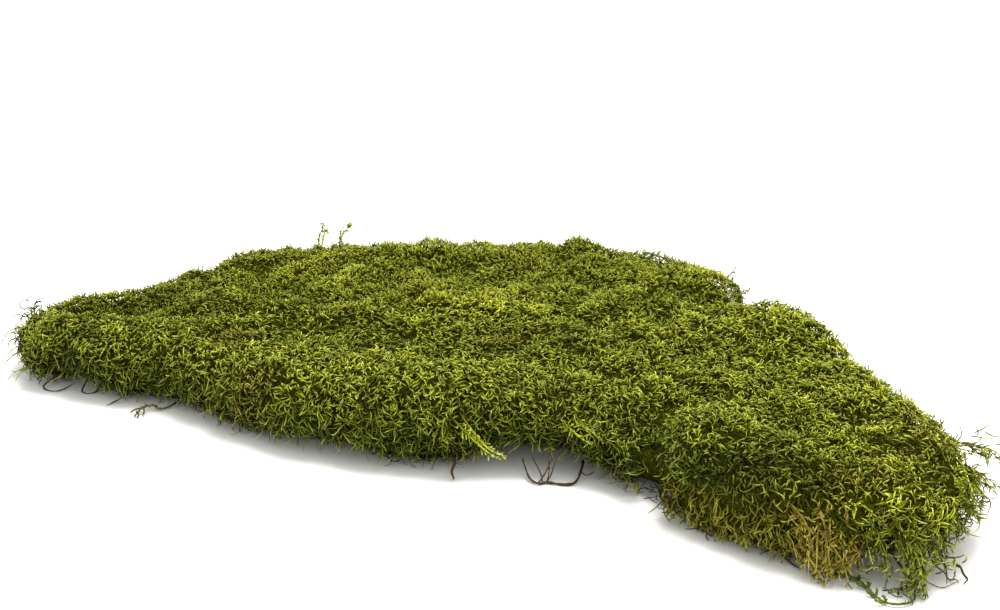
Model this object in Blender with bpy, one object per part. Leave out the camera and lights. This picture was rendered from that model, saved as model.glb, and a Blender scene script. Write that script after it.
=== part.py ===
"""A sheet of moss lifted from the ground: a felted mat with three thin stems trailing from its underside.

Plan: +X runs along the mat from its thin wing to its broad lobe, +Y from its front edge to its back, +Z up.
Lengths in the tables are millimetres in the plan's own axes; MM turns them into metres.
"""

import math

import bpy
from mathutils import Vector, noise
from mathutils.geometry import delaunay_2d_cdt

MM = 0.001

# Driving dimensions of the mat, in millimetres
THICKNESS = 37.0
RIM_HEIGHT = 15.0
RIM_ROUNDING = 25.0
RIM_POWER = 2.3
RIM_SPACING = 7.0
RIM_ROWS = (2.2, 7.5, 14.0)
TOP_SPACING = 7.0
TOP_SHIFT = 1.6
LIP_INSET = 8.0
LIP_HEIGHT = 3.0
LIP_SHARE = 0.45
LEAST_LIP = 1.0
LEAST_RIM_FACE = 5.0
CONTACT_STEP = 9.0

# Rough surface of the cushions and tufts, in millimetres
CUSHION_SIZE = 36.0
CUSHION_HEIGHT = 4.5
CUSHION_CREASE = 0.45
CUSHION_BEND = 0.35
TUFT_SIZE = 13.0
TUFT_HEIGHT = 2.2
PEAK_HEIGHT = 4.2
HEIGHT_ROUGHNESS = 3.5
LIP_ROUGHNESS = 1.8
INSET_ROUGHNESS = 2.0
RIM_RAGGEDNESS = 2.6
RIM_TOOTH = 1.5

# Widest outline of the mat in plan, round it clockwise from the tip of the wing
OUTLINE = [
    (-233, 52), (-227, 67), (-214, 81), (-186, 94), (-162, 120), (-127, 151), (-80, 172), (-24, 172),
    (35, 171), (76, 171), (108, 155), (138, 141), (157, 108), (160, 80), (160, 66), (178, 60), (194, 40),
    (205, -12), (214, -66), (222, -104), (227, -126), (214, -150), (194, -168), (166, -170), (146, -166),
    (122, -150), (100, -132), (84, -110), (70, -90), (48, -76), (12, -78), (-30, -72), (-62, -61),
    (-100, -39), (-134, -11), (-165, 2), (-199, 15), (-223, 27),
]

# Swells and hollows of the top: x, y, half length, half width, turn in degrees, height
SWELLS = [
    (-60, -36, 85, 18, -20, 5.0),
    (14, -52, 50, 16, 2, 4.0),
    (-56, 18, 90, 20, -14, -5.0),
    (-60, 135, 100, 26, 6, 6.0),
    (70, 130, 60, 30, -15, 5.0),
    (20, 60, 70, 30, 0, 3.5),
    (114, -112, 45, 20, -42, 7.0),
    (88, -88, 26, 9, 60, -15.0),
    (170, -130, 40, 26, -15, 4.0),
    (186, -70, 34, 36, -80, 5.0),
    (182, -14, 32, 12, 12, -7.0),
    (172, 32, 22, 20, 0, 5.0),
    (146, 70, 24, 10, 15, -10.0),
    (-210, 48, 26, 20, 10, -4.0),
    (-165, 55, 26, 16, 40, -4.0),
    (-125, 50, 30, 30, 0, 3.0),
]

# Where the rim lifts off the surface: x, y, reach, added lip height, added inset
ARCHES = [
    (35, -74, 26, 8.0, 20.0),
    (-200, 16, 16, 7.0, 9.0),
    (-60, -60, 40, 3.0, 6.0),
    (176, -168, 16, 15.0, 20.0),
    (214, -146, 24, 13.0, 16.0),
    (100, 156, 30, 4.0, 6.0),
    (-180, 100, 26, 4.0, 5.0),
]

# Long shoots that stand out of the mat: points in plan and height, thickest radius
SHOOTS = [
    ([(200, -118, 30), (216, -124, 28), (226, -128, 21), (230, -128, 18)], 2.4),
    ([(204, -106, 31), (222, -108, 31), (232, -106, 25), (238, -102, 23)], 2.4),
    ([(198, -124, 28), (211, -136, 22), (217, -141, 16), (221, -141, 14)], 2.5),
    ([(192, -132, 28), (203, -148, 20), (208, -152, 14), (211, -152, 12)], 2.6),
    ([(186, -136, 28), (196, -158, 17), (198, -164, 8), (197, -167, 2)], 3.4),
    ([(176, -140, 28), (182, -166, 18), (184, -174, 8), (182, -177, 2)], 3.6),
    ([(166, -140, 27), (169, -162, 18), (171, -169, 8), (169, -172, 2)], 3.0),
    ([(138, -136, 24), (144, -158, 18), (147, -166, 9), (145, -169, 2)], 3.8),
    ([(148, -136, 25), (154, -157, 18), (156, -164, 9), (155, -167, 2)], 3.4),
    ([(128, -132, 22), (134, -153, 15), (137, -160, 7), (136, -163, 2)], 3.2),
    ([(-214, 50, 17), (-231, 50, 24), (-239, 47, 20), (-239, 43, 14)], 2.2),
    ([(-214, 44, 13), (-229, 40, 15), (-236, 37, 11), (-235, 33, 7)], 2.2),
    ([(-214, 54, 17), (-227, 62, 29), (-232, 65, 33), (-234, 64, 35)], 2.0),
    ([(-210, 34, 12), (-222, 25, 11), (-227, 20, 7), (-226, 17, 3)], 2.2),
    ([(-84, 150, 32), (-82, 159, 42), (-81, 161, 47), (-84, 161, 49)], 2.0),
    ([(-72, 150, 32), (-71, 159, 42), (-69, 161, 46), (-66, 161, 48)], 2.0),
    ([(142, 94, 24), (153, 99, 36), (156, 101, 40), (157, 102, 43)], 2.2),
    ([(142, 84, 22), (157, 84, 31), (161, 84, 35), (164, 83, 36)], 2.2),
]
SHOOT_SIDES = 5
SHOOT_SPACING = 5.0

# A feathery stem that loops over the surface in front of the broad lobe
FROND_ROUTE = [
    (176, -156), (182, -166), (184, -174), (182, -181), (177, -184), (171, -183), (168, -178),
    (166, -171), (163, -165), (158, -162), (152, -164),
]
FROND_RADIUS = 0.8
FROND_THINNING = 0.35
FROND_RISE = [12.0, 5.0, 2.0]
FROND_HEIGHT = 1.3
FROND_SPACING = 3.2
BRANCH_LENGTH = 4.4
BRANCH_RADIUS = 0.7
BRANCH_COUNT = 5
BRANCH_LIFT = 0.7
BRANCH_CURL = 0.12

# A woody rootlet that sags below the arch of the front edge
ROOTLET_ROUTE = [(62, -66, 3.0), (61, -76, 5.0), (58, -83, 1.4), (53, -85, 0.9), (45, -83, 0.9),
                 (41, -84, 0.9), (37, -80, 2.0), (34, -70, 7.0)]
ROOTLET_RADIUS = 0.7

# A small curled sprig that trails from under the wing
SPRIG_ROUTE = [(-140, 4, 1.2), (-143, -1, 1.0), (-147, -4, 1.4), (-150, -3, 2.8), (-154, -6, 3.2),
               (-156, -10, 2.2), (-157, -14, 0.9)]
SPRIG_RADIUS = 0.6

STEM_SIDES = 6
STEM_SPACING = 3.0

GREEN = (0.105, 0.135, 0.018, 1.0)
FROND_GREEN = (0.07, 0.10, 0.012, 1.0)
BARK = (0.035, 0.022, 0.012, 1.0)
OLIVE = (0.10, 0.09, 0.018, 1.0)


def clear_scene():
    for obj in list(bpy.data.objects):
        bpy.data.objects.remove(obj)


def matte(name, colour, roughness):
    material = bpy.data.materials.new(name)
    material.use_nodes = True
    shader = material.node_tree.nodes["Principled BSDF"]
    shader.inputs["Base Color"].default_value = colour
    shader.inputs["Roughness"].default_value = roughness
    shader.inputs["Metallic"].default_value = 0.0
    return material


def smooth_point(a, b, c, d, t):
    """A point between b and c on the smooth curve through a, b, c and d."""
    return 0.5 * (2 * b + (c - a) * t + (2 * a - 5 * b + 4 * c - d) * t * t + (3 * b - a - 3 * c + d) * t**3)


def smooth_curve(points, closed, steps=12):
    points = [Vector(p) for p in points]
    count = len(points)
    spans = count if closed else count - 1
    found = []
    for i in range(spans):
        around = [i - 1, i, i + 1, i + 2]
        around = [k % count for k in around] if closed else [min(max(k, 0), count - 1) for k in around]
        found += [smooth_point(*[points[k] for k in around], s / steps) for s in range(steps)]
    return found if closed else found + [points[-1]]


def evenly(curve, spacing, closed):
    """Points on the curve about a spacing apart."""
    curve = curve + [curve[0]] if closed else curve
    lengths = [0.0]
    for a, b in zip(curve, curve[1:]):
        lengths.append(lengths[-1] + (b - a).length)
    count = max(2, round(lengths[-1] / spacing))
    found = []
    k = 0
    for i in range(count if closed else count + 1):
        wanted = lengths[-1] * i / count
        while k < len(curve) - 2 and lengths[k + 1] < wanted:
            k += 1
        share = (wanted - lengths[k]) / max(lengths[k + 1] - lengths[k], 1e-9)
        found.append(curve[k].lerp(curve[k + 1], share))
    return found


def rough(x, y, size, seed):
    """Smooth random value, about -1 to 1, that changes over the given size."""
    return 1.6 * noise.noise(Vector((x / size, y / size, seed)))


def cushions(x, y):
    """Domed cushions with soft creases between them, 0 in a crease and 1 on a dome."""
    bend = Vector((rough(x, y, 50, 3.1), rough(x, y, 50, 8.7), 0))
    distances, _ = noise.voronoi(Vector((x / CUSHION_SIZE, y / CUSHION_SIZE, 0.5)) + CUSHION_BEND * bend)
    crease = min((distances[1] - distances[0]) / CUSHION_CREASE, 1.0)
    return crease * crease * (3 - 2 * crease)


def swell(x, y, spot):
    cx, cy, length, width, turn, height = spot
    c, s = math.cos(math.radians(turn)), math.sin(math.radians(turn))
    along, across = c * (x - cx) + s * (y - cy), c * (y - cy) - s * (x - cx)
    return height * math.exp(-((along / length) ** 2) - (across / width) ** 2)


def rim_distance(x, y, outline):
    """How far a plan point is from the nearest side of the outline."""
    point = Vector((x, y))
    best = 1e9
    for i, a in enumerate(outline):
        b = outline[(i + 1) % len(outline)]
        side = b - a
        t = min(max((point - a).dot(side) / side.length_squared, 0.0), 1.0)
        best = min(best, (point - a - t * side).length_squared)
    return math.sqrt(best)


def rim_profile(distance):
    t = min(distance / RIM_ROUNDING, 1.0)
    return (1 - (1 - t) ** RIM_POWER) ** (1 / RIM_POWER)


def peak(x, y, seed):
    """0 to 1, unlike at each point of the net, with few high values."""
    return noise.cell(Vector((3.1 * x, 3.7 * y, seed))) ** 2


def top_height(x, y, distance, rim):
    full = THICKNESS + sum(swell(x, y, spot) for spot in SWELLS)
    full += CUSHION_HEIGHT * (cushions(x, y) - 0.6) + TUFT_HEIGHT * rough(x, y, TUFT_SIZE, 1.7)
    full += PEAK_HEIGHT * (peak(x, y, 0.3) - 0.3)
    return rim + (full - rim) * rim_profile(distance)


def inward(outline):
    """Unit vectors that point into the mat at each outline point."""
    count = len(outline)
    found = []
    for i in range(count):
        along = outline[(i + 2) % count] - outline[i - 2]
        found.append(Vector((along.y, -along.x)).normalized())
    return found


def rim_shape(x, y):
    """(rim height, lip height, lip inset) at an outline point."""
    lift = inset = 0.0
    for cx, cy, reach, more_lift, more_inset in ARCHES:
        near = math.exp(-((x - cx) ** 2 + (y - cy) ** 2) / reach**2)
        lift += near * more_lift
        inset += near * more_inset
    lip = max(LIP_HEIGHT + lift + LIP_ROUGHNESS * rough(x, y, 18, 2.2), LEAST_LIP)
    rim = max(RIM_HEIGHT + HEIGHT_ROUGHNESS * rough(x, y, 22, 6.1), lip + LEAST_RIM_FACE)
    return rim, lip, LIP_INSET + inset + INSET_ROUGHNESS * rough(x, y, 20, 4.4)


def mat_mesh():
    """The closed solid of the mat: a rough top over a triangle net, a rim turned under, a flat base."""
    outline = evenly(smooth_curve(OUTLINE, True), RIM_SPACING, True)
    normals = inward(outline)
    outline = [
        p + n * (RIM_RAGGEDNESS * rough(p.x, p.y, 16, 9.3) - RIM_TOOTH * (2 * peak(p.x, p.y, 4.1) - 0.6))
        for p, n in zip(outline, normals)
    ]
    count = len(outline)
    rims = [rim_shape(p.x, p.y) for p in outline]

    plan = list(outline)
    for row, inset in enumerate(RIM_ROWS):
        half = 0.5 * (row > 0)
        for i in range(count):
            j = (i + 1) % count
            p = outline[i].lerp(outline[j], half) + (normals[i] + half * (normals[j] - normals[i])) * inset
            if rim_distance(p.x, p.y, outline) > 0.8 * inset:
                plan.append(p)
    row_height = TOP_SPACING * math.sqrt(3) / 2
    low = Vector((min(p.x for p in outline), min(p.y for p in outline)))
    high = Vector((max(p.x for p in outline), max(p.y for p in outline)))
    inside = [p.to_2d() for p in plan[:count]]
    for row in range(int((high.y - low.y) / row_height) + 1):
        for column in range(int((high.x - low.x) / TOP_SPACING) + 1):
            x = low.x + (column + 0.5 * (row % 2)) * TOP_SPACING
            y = low.y + row * row_height
            x += TOP_SHIFT * rough(x, y, 6, 7.7)
            y += TOP_SHIFT * rough(x, y, 6, 3.9)
            if within(x, y, inside) and rim_distance(x, y, outline) > RIM_ROWS[-1] + 0.6 * TOP_SPACING:
                plan.append(Vector((x, y)))

    edges = [(i, (i + 1) % count) for i in range(count)]
    points, _, faces, origins, _, _ = delaunay_2d_cdt(plan, edges, [], 1, 0.01)
    faces = [f for f in faces if within(*(sum((points[v] for v in f), Vector((0, 0))) / 3), inside)]

    vertices = []
    place = {}
    for i, p in enumerate(points):
        rim_index = min(origins[i]) if origins[i] and min(origins[i]) < count else None
        if rim_index is not None:
            place[rim_index] = i
            vertices.append(Vector((p.x, p.y, rims[rim_index][0])))
            continue
        near = min(range(count), key=lambda k: (outline[k] - p).length_squared)
        z = top_height(p.x, p.y, rim_distance(p.x, p.y, outline), rims[near][0])
        vertices.append(Vector((p.x, p.y, z)))
    faces = [tuple(f) for f in faces]

    loop = [place[i] for i in range(count)]
    rings = (
        (0.30, lambda rim, lip: rim + LIP_SHARE * (lip - rim), 0.0),
        (1.00, lambda rim, lip: lip, 0.0),
        (1.00, lambda rim, lip: 0.0, CONTACT_STEP),
    )
    for share, height, more in rings:
        ring = []
        for i, (p, n) in enumerate(zip(outline, normals)):
            rim, lip, inset = rims[i]
            q = p + n * (share * inset + more)
            ring.append(len(vertices))
            vertices.append(Vector((q.x, q.y, height(rim, lip))))
        for i in range(count):
            j = (i + 1) % count
            faces.append((loop[i], loop[j], ring[j], ring[i]))
        loop = ring
    faces.append(tuple(loop))

    mesh = bpy.data.meshes.new("moss_mat")
    mesh.from_pydata([v * MM for v in vertices], [], faces)
    return mesh


def within(x, y, outline):
    """True if the plan point is inside the outline."""
    inside = False
    for i, a in enumerate(outline):
        b = outline[i - 1]
        if (a.y > y) != (b.y > y) and x < (b.x - a.x) * (y - a.y) / (b.y - a.y) + a.x:
            inside = not inside
    return inside


def tube_mesh(name, points, radii, sides):
    """A closed tube through points, in metres, that narrows to a point where the last radius is 0."""
    points = [Vector(p) * MM for p in points]
    vertices, faces = [], []
    turn = Vector((0, 0, 1))
    tip = radii[-1] == 0
    rings = len(points) - 1 if tip else len(points)
    for i in range(rings):
        along = (points[min(i + 1, len(points) - 1)] - points[max(i - 1, 0)]).normalized()
        side = turn.cross(along)
        if side.length < 0.2:
            side = Vector((1, 0, 0)).cross(along)
        side.normalize()
        turn = along.cross(side)
        for k in range(sides):
            angle = 2 * math.pi * k / sides
            vertices.append(points[i] + radii[i] * MM * (math.cos(angle) * side + math.sin(angle) * turn))
    for i in range(rings - 1):
        for k in range(sides):
            a, b = i * sides + k, i * sides + (k + 1) % sides
            faces.append((a, b, b + sides, a + sides))
    faces.append(tuple(range(sides))[::-1])
    if tip:
        vertices.append(points[-1])
        last = (rings - 1) * sides
        faces += [(last + k, last + (k + 1) % sides, len(vertices) - 1) for k in range(sides)]
    else:
        faces.append(tuple(range((rings - 1) * sides, rings * sides)))
    mesh = bpy.data.meshes.new(name)
    mesh.from_pydata(vertices, [], faces)
    return mesh


def add(mesh, parent, material=None):
    obj = bpy.data.objects.new(mesh.name, mesh)
    bpy.context.scene.collection.objects.link(obj)
    obj.parent = parent
    if material:
        mesh.materials.append(material)
        mesh.shade_smooth()
        mesh.set_sharp_from_angle(angle=math.radians(60))
    return obj


def fuse(obj, pieces, name):
    """Joins helper solids to obj in one closed body."""
    group = bpy.data.collections.new(name)
    bpy.context.scene.collection.children.link(group)
    for piece in pieces:
        bpy.context.scene.collection.objects.unlink(piece)
        group.objects.link(piece)
        piece.hide_render = True
        piece.display_type = "WIRE"
    union = obj.modifiers.new(name, "BOOLEAN")
    union.operation = "UNION"
    union.operand_type = "COLLECTION"
    union.collection = group


def tapered(count, thick, blunt=0.35):
    """Radii of a shoot that swells to thick and narrows to a point."""
    shares = [i / (count - 1) for i in range(count)]
    return [thick * (blunt + (1 - blunt) * math.sin(math.pi * min(t + 0.12, 1.0))) * (t < 1) for t in shares]


def mat(parent):
    """The mat with its long outer shoots."""
    body = add(mat_mesh(), parent, matte("moss", GREEN, 0.85))
    horns = []
    for k, (points, thick) in enumerate(SHOOTS):
        curve = evenly(smooth_curve(points, False), SHOOT_SPACING, False)
        horns.append(add(tube_mesh(f"shoot_{k}", curve, tapered(len(curve), thick), SHOOT_SIDES), parent))
    fuse(body, horns, "long_shoots")


def frond(parent):
    """The feathery stem: a looped main stem with short side branches towards its tip."""
    rises = FROND_RISE + [FROND_HEIGHT] * (len(FROND_ROUTE) - len(FROND_RISE))
    route = [(x, y, z) for (x, y), z in zip(FROND_ROUTE, rises)]
    curve = evenly(smooth_curve(route, False), FROND_SPACING, False)
    radii = [FROND_RADIUS * (1 - FROND_THINNING * i / len(curve)) for i in range(len(curve))]
    green = matte("frond", FROND_GREEN, 0.7)
    stem = add(tube_mesh("trailing_frond", curve, radii, STEM_SIDES), parent, green)
    twigs = []
    for k in range(BRANCH_COUNT):
        at = curve[len(curve) - 3 - 2 * k]
        along = (curve[len(curve) - 4 - 2 * k] - at).normalized()
        for hand in (-1, 1):
            out = Vector((-hand * along.y, hand * along.x, 0))
            way = (out - 0.7 * along).normalized()
            reach = BRANCH_LENGTH * (0.75 + 0.25 * math.sin(1.7 * k + hand))
            bend = -BRANCH_CURL * reach * along
            points = [at + way * reach * t + Vector((0, 0, BRANCH_LIFT * t)) + bend * t * t
                      for t in (0.0, 0.35, 0.7, 1.0)]
            radii = tapered(len(points), BRANCH_RADIUS)
            twigs.append(add(tube_mesh(f"twig_{k}_{hand + 1}", points, radii, SHOOT_SIDES), parent))
    fuse(stem, twigs, "frond_branches")


def stem_on_surface(name, route, radius, parent, material):
    """A plain thin stem through a route."""
    curve = evenly(smooth_curve(route, False), STEM_SPACING, False)
    add(tube_mesh(name, curve, [radius] * len(curve), STEM_SIDES), parent, material)


def centre(parent):
    """Stands the model on the surface with the middle of its box over the origin."""
    bpy.context.view_layer.update()
    graph = bpy.context.evaluated_depsgraph_get()
    corners = []
    for obj in parent.children:
        if not obj.hide_render:
            shape = obj.evaluated_get(graph)
            corners += [shape.matrix_world @ v.co for v in shape.data.vertices]
    low = Vector([min(c[k] for c in corners) for k in range(3)])
    high = Vector([max(c[k] for c in corners) for k in range(3)])
    parent.location = (-(low.x + high.x) / 2, -(low.y + high.y) / 2, -low.z)


def build():
    clear_scene()
    clump = bpy.data.objects.new("moss_clump", None)
    bpy.context.scene.collection.objects.link(clump)
    mat(clump)
    frond(clump)
    stem_on_surface("rootlet", ROOTLET_ROUTE, ROOTLET_RADIUS, clump, matte("bark", BARK, 0.8))
    stem_on_surface("side_sprig", SPRIG_ROUTE, SPRIG_RADIUS, clump, matte("sprig", OLIVE, 0.8))
    centre(clump)


build()
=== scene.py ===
import math

import bpy
import numpy as np
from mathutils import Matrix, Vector, noise
from mathutils.bvhtree import BVHTree
from mathutils.kdtree import KDTree


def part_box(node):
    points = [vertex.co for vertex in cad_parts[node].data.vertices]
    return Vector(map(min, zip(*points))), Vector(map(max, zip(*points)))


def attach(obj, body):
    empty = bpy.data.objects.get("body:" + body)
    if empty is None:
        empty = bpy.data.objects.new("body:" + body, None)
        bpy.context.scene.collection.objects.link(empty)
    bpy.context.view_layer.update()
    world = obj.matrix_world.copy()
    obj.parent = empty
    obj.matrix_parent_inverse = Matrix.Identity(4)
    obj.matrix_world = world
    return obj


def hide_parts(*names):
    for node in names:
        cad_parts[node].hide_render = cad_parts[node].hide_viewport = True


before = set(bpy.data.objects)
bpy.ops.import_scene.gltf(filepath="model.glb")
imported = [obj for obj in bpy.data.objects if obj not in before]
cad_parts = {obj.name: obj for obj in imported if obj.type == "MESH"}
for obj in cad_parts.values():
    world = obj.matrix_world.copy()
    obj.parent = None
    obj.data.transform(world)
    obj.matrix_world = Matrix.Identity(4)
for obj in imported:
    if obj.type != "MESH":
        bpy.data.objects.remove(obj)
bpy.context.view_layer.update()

mm = 0.001
dice = np.random.default_rng(46)    # every random choice comes from here, in a fixed order

# The solids' plan has its zero off the middle of the box; the rootlet's low corner says how far
rootletLowCorner = np.array([33.28, -85.69])
planShift = np.array(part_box("rootlet")[0])[:2] - rootletLowCorner * mm


def inPlan(points):    # from the plan's millimetres to metres in the frame
    found = np.array(points, float) * mm
    found[..., :2] += planShift
    return found


def unit(v):
    return v / np.maximum(np.linalg.norm(v, axis=-1, keepdims=True), 1e-9)


def smoothStep(x):
    x = np.clip(x, 0, 1)
    return x * x * (3 - 2 * x)


def nothingSelected():
    if bpy.context.object and bpy.context.object.mode != "OBJECT":
        bpy.ops.object.mode_set(mode="OBJECT")
    bpy.ops.object.select_all(action="DESELECT")


def selectOnly(obj):
    nothingSelected()
    obj.select_set(True)
    bpy.context.view_layer.objects.active = obj


# Shader groups

def newGroup(name, inputs, outputs):
    group = bpy.data.node_groups.new(name, "ShaderNodeTree")
    for label, kind, value in inputs:
        socket = group.interface.new_socket(label, in_out="INPUT", socket_type=kind)
        if value is not None:
            socket.default_value = value
    for label, kind in outputs:
        group.interface.new_socket(label, in_out="OUTPUT", socket_type=kind)
    return group, group.nodes.new("NodeGroupInput"), group.nodes.new("NodeGroupOutput")


def addNode(tree, kind, values=None, **settings):
    made = tree.nodes.new(kind)
    for key, value in settings.items():
        setattr(made, key, value)
    for key, value in (values or {}).items():
        made.inputs[key].default_value = value
    return made


def join(tree, start, end):
    tree.links.new(start, end)


def ramp(tree, factor, stops):
    made = addNode(tree, "ShaderNodeValToRGB")
    bar = made.color_ramp.elements
    while len(bar) < len(stops):
        bar.new(0.5)
    for stop, (at, colour) in zip(bar, stops):
        stop.position = at
        stop.color = (*colour, 1)
    join(tree, factor, made.inputs[0])
    return made.outputs["Color"]


def mixed(tree, factor, first, second, blend="MIX"):
    made = addNode(tree, "ShaderNodeMix", data_type="RGBA", blend_type=blend)
    for socket, value in ((made.inputs[0], factor), (made.inputs[6], first), (made.inputs[7], second)):
        if isinstance(value, bpy.types.NodeSocket):
            join(tree, value, socket)
        else:
            socket.default_value = value
    return made.outputs[2]


def mathNode(tree, operation, first, second=None, third=None, clamp=False):
    made = addNode(tree, "ShaderNodeMath", operation=operation, use_clamp=clamp)
    for k, value in enumerate((first, second, third)):
        if isinstance(value, bpy.types.NodeSocket):
            join(tree, value, made.inputs[k])
        elif value is not None:
            made.inputs[k].default_value = value
    return made.outputs[0]


def blotchGroup():    # soft blotches fixed in the object, 0 to 1
    group, entry, leave = newGroup(
        "blotches",
        [("Size", "NodeSocketFloat", 0.03), ("Contrast", "NodeSocketFloat", 2.0)],
        [("Amount", "NodeSocketFloat")],
    )
    place = addNode(group, "ShaderNodeTexCoord")
    fineness = mathNode(group, "DIVIDE", 1.0, entry.outputs["Size"])
    cloud = addNode(group, "ShaderNodeTexNoise", {"Detail": 3.0, "Roughness": 0.6})
    join(group, place.outputs["Object"], cloud.inputs["Vector"])
    join(group, fineness, cloud.inputs["Scale"])
    centred = mathNode(group, "SUBTRACT", cloud.outputs[0], 0.5)
    stretched = mathNode(group, "MULTIPLY_ADD", centred, entry.outputs["Contrast"], 0.5, clamp=True)
    join(group, stretched, leave.inputs["Amount"])
    return group


def leafGroup():    # overlapping leaves along a shoot: rings of height with ragged ends, and the shade between them
    group, entry, leave = newGroup(
        "leafRings",
        [("Along", "NodeSocketFloat", 0.0), ("Leaves", "NodeSocketFloat", 9.0), ("Ragged", "NodeSocketFloat", 0.5)],
        [("Height", "NodeSocketFloat"), ("Shade", "NodeSocketFloat")],
    )
    place = addNode(group, "ShaderNodeTexCoord")
    cloud = addNode(group, "ShaderNodeTexNoise", {"Scale": 1400.0, "Detail": 1.0})
    join(group, place.outputs["Object"], cloud.inputs["Vector"])
    wobble = mathNode(group, "MULTIPLY", cloud.outputs[0], entry.outputs["Ragged"])
    count = mathNode(group, "MULTIPLY", entry.outputs["Along"], entry.outputs["Leaves"])
    saw = mathNode(group, "FRACT", mathNode(group, "ADD", count, mathNode(group, "MULTIPLY", wobble, 2.0)))
    join(group, mathNode(group, "ADD", saw, wobble), leave.inputs["Height"])
    join(group, mathNode(group, "POWER", saw, 0.6), leave.inputs["Shade"])
    return group


blotches = blotchGroup()
leafRings = leafGroup()


def useGroup(tree, group, **values):
    made = tree.nodes.new("ShaderNodeGroup")
    made.node_tree = group
    for key, value in values.items():
        if isinstance(value, bpy.types.NodeSocket):
            join(tree, value, made.inputs[key])
        else:
            made.inputs[key].default_value = value
    return made


def fromMesh(tree, name):
    return addNode(tree, "ShaderNodeAttribute", attribute_name=name).outputs["Fac"]


def newMaterial(name):
    material = bpy.data.materials.new(name)
    material.use_nodes = True
    tree = material.node_tree
    return material, tree, tree.nodes["Principled BSDF"]


# A living shoot: brown at its foot, green along it and yellow-green at its growing tip, paled there towards white-green
# as a painted highlight

shootLook = {
    "green": [(0.0, (0.013, 0.018, 0.0005)), (0.30, (0.076, 0.112, 0.003)), (0.62, (0.235, 0.320, 0.014)),
              (1.0, (0.540, 0.640, 0.200))],
    "yellow": [(0.0, (0.026, 0.027, 0.0008)), (0.30, (0.165, 0.175, 0.005)), (0.62, (0.440, 0.465, 0.026)),
               (1.0, (0.780, 0.790, 0.320))],
    "dry": [(0.0, (0.022, 0.015, 0.002)), (0.30, (0.110, 0.080, 0.007)), (0.65, (0.310, 0.240, 0.036)),
            (1.0, (0.540, 0.450, 0.170))],
    "roughness": 0.45,
    "specular": 0.09,
    "bump": 0.35,
}


def shootMaterial(name="mossShoot", lightness=1.0, leaves=8.0):
    material, tree, shader = newMaterial(name)
    along = fromMesh(tree, "along")
    tint = fromMesh(tree, "tint")
    dryness = fromMesh(tree, "dryness")
    rings = useGroup(tree, leafRings, Along=along, Leaves=leaves, Ragged=0.45)
    patch = useGroup(tree, blotches, Size=0.045, Contrast=2.2)
    fine = useGroup(tree, blotches, Size=0.007, Contrast=1.6)
    yellowness = mathNode(tree, "MULTIPLY_ADD", tint, 0.55, mathNode(tree, "MULTIPLY", patch.outputs[0], 0.55))
    fresh = mathNode(tree, "SUBTRACT", yellowness, mathNode(tree, "MULTIPLY", dryness, 1.0), clamp=True)
    living = mixed(tree, fresh, ramp(tree, along, shootLook["green"]), ramp(tree, along, shootLook["yellow"]))
    withered = mathNode(tree, "MULTIPLY", dryness, mathNode(tree, "ADD", fine.outputs[0], 0.35), clamp=True)
    colour = mixed(tree, withered, living, ramp(tree, along, shootLook["dry"]))
    # Darkened by painted shade between the leaves and by the tone attribute, which carries painted light and shade
    shade = mathNode(tree, "MULTIPLY_ADD", rings.outputs["Shade"], 0.45, 0.72)
    shade = mathNode(tree, "MULTIPLY", shade, mathNode(tree, "MULTIPLY_ADD", tint, 0.6, 0.70 * lightness))
    grey = addNode(tree, "ShaderNodeCombineColor")
    for k in range(3):
        join(tree, shade, grey.inputs[k])
    join(tree, mixed(tree, 1.0, colour, grey.outputs[0], "MULTIPLY"), shader.inputs["Base Color"])
    rough = mathNode(tree, "MULTIPLY_ADD", fine.outputs[0], 0.25, shootLook["roughness"] - 0.1)
    join(tree, rough, shader.inputs["Roughness"])
    shader.inputs["Specular IOR Level"].default_value = shootLook["specular"]
    bump = addNode(tree, "ShaderNodeBump", {"Strength": shootLook["bump"], "Distance": 0.0004})
    join(tree, rings.outputs["Height"], bump.inputs["Height"])
    join(tree, bump.outputs[0], shader.inputs["Normal"])
    return material


# A bare or dead stem: no leaves, fine grain along it

def stemMaterial(name, stops, roughness, grain=0.25):
    material, tree, shader = newMaterial(name)
    along = fromMesh(tree, "along")
    tint = fromMesh(tree, "tint")
    fine = useGroup(tree, blotches, Size=0.0025, Contrast=2.0)
    patch = useGroup(tree, blotches, Size=0.02, Contrast=2.0)
    mixedAlong = mathNode(tree, "MULTIPLY_ADD", patch.outputs[0], 0.35, mathNode(tree, "MULTIPLY", along, 0.65))
    colour = ramp(tree, mixedAlong, stops)
    shade = mathNode(tree, "MULTIPLY_ADD", tint, 0.7, mathNode(tree, "MULTIPLY_ADD", fine.outputs[0], 0.4, 0.4))
    grey = addNode(tree, "ShaderNodeCombineColor")
    for k in range(3):
        join(tree, shade, grey.inputs[k])
    join(tree, mixed(tree, 1.0, colour, grey.outputs[0], "MULTIPLY"), shader.inputs["Base Color"])
    rough = mathNode(tree, "MULTIPLY_ADD", fine.outputs[0], 0.2, roughness - 0.1)
    join(tree, rough, shader.inputs["Roughness"])
    shader.inputs["Specular IOR Level"].default_value = 0.06
    bump = addNode(tree, "ShaderNodeBump", {"Strength": grain, "Distance": 0.0003})
    join(tree, fine.outputs[0], bump.inputs["Height"])
    join(tree, bump.outputs[0], shader.inputs["Normal"])
    return material


# The felt of old stems inside the mat and on its underside, very dark: partly its own colour, partly painted shade in
# the gaps between shoots

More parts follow.
